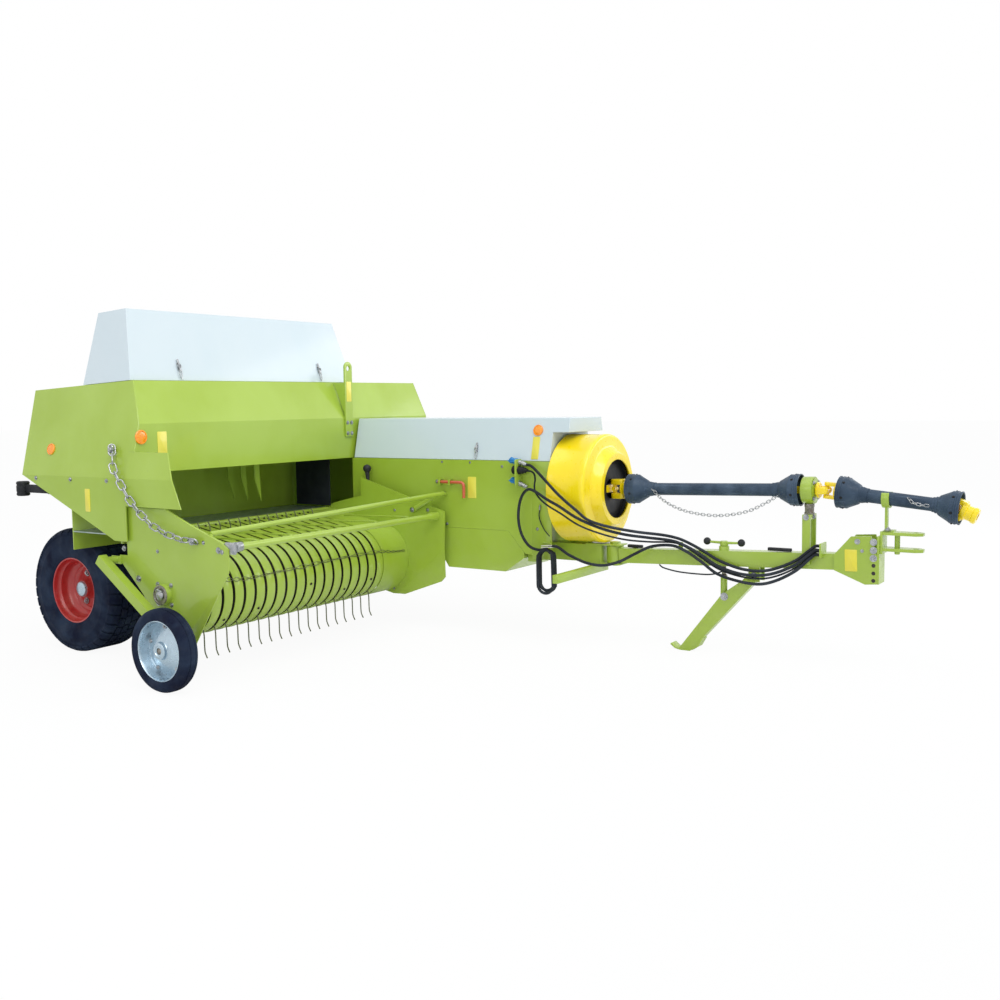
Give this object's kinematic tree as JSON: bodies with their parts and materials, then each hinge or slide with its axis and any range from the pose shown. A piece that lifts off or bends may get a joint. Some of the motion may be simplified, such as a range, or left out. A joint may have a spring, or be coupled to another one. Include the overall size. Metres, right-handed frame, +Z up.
{
  "type": "square baler",
  "caption": "Towed square baler with a side pickup and tined reel, hooded feeder, open bale chamber, guarded flywheel, swinging tongue, drive shaft and parking stand.",
  "frame": {"origin": "on the ground at the middle of the machine's length and width", "axes": "+X forward towards the tractor, +Y to the machine's left, +Z up"},
  "size_m": [5.6502, 2.67, 1.8551],
  "materials": {
    "green_paint": "glossy yellow-green machine enamel",
    "cover_paint": "glossy off-white enamel with a cold blue tint",
    "yellow_paint": "glossy bright yellow enamel",
    "red_paint": "satin red enamel",
    "tyre_rubber": "dull black tyre rubber",
    "guard_plastic": "matte black moulded plastic",
    "bare_steel": "bare oiled steel",
    "zinc_steel": "zinc-plated steel with a faint blue tone",
    "black_rubber": "smooth black rubber",
    "grey_floor": "galvanised sheet steel",
    "orange_lens": "clear orange reflector",
    "yellow_plate": "blank yellow plate",
    "blue_cap": "blue coupling body",
    "handle_red": "red-orange enamel"
  },
  "bodies": {
    "chassis": {"axle_frame": "green_paint", "chamber_floor": "green_paint", "chamber_wall_left": "green_paint", "chamber_wall_right": "green_paint", "chamber_roof": "green_paint", "tension_crank_right": "bare_steel", "tension_crank_left": "bare_steel", "housing_wall_right": "green_paint", "housing_wall_left": "green_paint", "drive_block": "bare_steel", "underbody_box": "green_paint", "nose_frame": "green_paint", "hood_front": "green_paint", "hood_rear": "green_paint", "hood_top": "green_paint", "hood_end_right": "green_paint", "hood_end_left": "green_paint", "side_deflector": "green_paint", "lifting_plate": "green_paint", "feeder_floor": "grey_floor", "feeder_back": "green_paint", "feed_curtain": "black_rubber", "flywheel_guard": "yellow_paint", "tail_lamp_right": "guard_plastic", "tail_lamp_left": "guard_plastic", "hose_holder": "green_paint", "twine_box": "green_paint", "hose_upper": "black_rubber", "hose_loop": "black_rubber", "hose_lower": "black_rubber", "light_cable": "black_rubber", "hose_hank": "black_rubber", "pickup_chain": "zinc_steel"},
    "wheel_right": {"tyre_right": "tyre_rubber", "rim_right": "red_paint"},
    "wheel_left": {"tyre_left": "tyre_rubber", "rim_left": "red_paint"},
    "pickup": {"pickup_plate_right": "green_paint", "pickup_plate_left": "green_paint", "stripper_bands": "green_paint", "pickup_front_tube": "green_paint", "gauge_arm": "green_paint"},
    "reel": {"tined_reel": "bare_steel"},
    "gauge_wheel": {"gauge_tyre": "tyre_rubber", "gauge_rim": "zinc_steel"},
    "windguard_bar": {"windguard": "green_paint"},
    "top_lid": {"top_cover": "cover_paint"},
    "front_lid": {"front_cover": "cover_paint"},
    "flywheel_rotor": {"flywheel": "bare_steel"},
    "feeder": {"feeder_fork": "green_paint"},
    "tongue": {"tongue_beam": "green_paint", "hitch_head": "green_paint", "hitch_clevis": "green_paint", "pto_bearing_stand": "green_paint", "pto_guard_rear": "guard_plastic"},
    "stand": {"stand_leg": "green_paint"},
    "jack": {"jack_screw": "bare_steel"},
    "rear_shaft": {"pto_shaft_rear": "yellow_paint"},
    "front_guard": {"pto_guard_front": "guard_plastic"},
    "front_shaft": {"pto_shaft_front": "yellow_paint"}
  },
  "joints": [
    {"name": "wheel_right_spin", "type": "hinge", "parent": "chassis", "child": "wheel_right", "pos_m": [-1.542, -0.835, 0.345], "axis": [0, 1, 0], "continuous": true},
    {"name": "wheel_left_spin", "type": "hinge", "parent": "chassis", "child": "wheel_left", "pos_m": [-1.542, 1.2, 0.345], "axis": [0, 1, 0], "continuous": true},
    {"name": "pickup_lift", "type": "hinge", "parent": "chassis", "child": "pickup", "pos_m": [-0.93, 0, 0.698], "axis": [0, -1, 0], "range_deg": [0, 16], "deforming": ["pickup_chain"]},
    {"name": "reel_spin", "type": "hinge", "parent": "pickup", "child": "reel", "pos_m": [-0.58, 0, 0.429], "axis": [0, 1, 0], "continuous": true},
    {"name": "gauge_wheel_spin", "type": "hinge", "parent": "pickup", "child": "gauge_wheel", "pos_m": [-0.41, -1.29, 0.201], "axis": [0, 1, 0], "continuous": true},
    {"name": "windguard_lift", "type": "hinge", "parent": "pickup", "child": "windguard_bar", "pos_m": [-0.257, 0, 0.721], "axis": [0, -1, 0], "range_deg": [0, 45]},
    {"name": "top_cover_lid", "type": "hinge", "parent": "chassis", "child": "top_lid", "pos_m": [-1.265, -0.1775, 1.4695], "axis": [0, -1, 0], "range_deg": [0, 70]},
    {"name": "front_cover_lid", "type": "hinge", "parent": "chassis", "child": "front_lid", "pos_m": [0, 1.001, 1.0195], "axis": [-1, 0, 0], "range_deg": [0, 80]},
    {"name": "flywheel_spin", "type": "hinge", "parent": "chassis", "child": "flywheel_rotor", "pos_m": [0.74, 0.765, 0.86], "axis": [1, 0, 0], "continuous": true},
    {"name": "feeder_swing", "type": "hinge", "parent": "chassis", "child": "feeder", "pos_m": [-1.08, -0.1, 1.64], "axis": [1, 0, 0], "range_deg": [-15, 15]},
    {"name": "tongue_swing", "type": "hinge", "parent": "chassis", "child": "tongue", "pos_m": [0.925, 0.765, 0.495], "axis": [0, 0, 1], "range_deg": [-22, 0], "deforming": ["hose_upper", "hose_loop", "hose_lower", "light_cable"]},
    {"name": "stand_leg_fold", "type": "hinge", "parent": "tongue", "child": "stand", "pos_m": [1.745, 0.765, 0.438], "axis": [0, 1, 0], "range_deg": [0, 38]},
    {"name": "jack_screw_lift", "type": "slide", "parent": "tongue", "child": "jack", "axis": [0, 0, 1], "range_m": [0, 0.15]},
    {"name": "rear_shaft_spin", "type": "hinge", "parent": "tongue", "child": "rear_shaft", "pos_m": [0.925, 0.765, 0.86], "axis": [0.9997, 0, 0.0247], "continuous": true},
    {"name": "front_shaft_lift", "type": "hinge", "parent": "tongue", "child": "front_guard", "pos_m": [2.108, 0.765, 0.889], "axis": [0, -1, 0], "range_deg": [0, 25]},
    {"name": "front_shaft_spin", "type": "hinge", "parent": "front_guard", "child": "front_shaft", "pos_m": [2.108, 0.765, 0.889], "axis": [0.9946, 0, -0.1034], "continuous": true}
  ],
  "couplings": [
    {"joint": "rear_shaft_spin", "follows": "flywheel_spin", "ratio": 1},
    {"joint": "front_shaft_spin", "follows": "flywheel_spin", "ratio": 1},
    {"joint": "jack_screw_lift", "follows": "stand_leg_fold", "m_per_rad": 0.226}
  ]
}
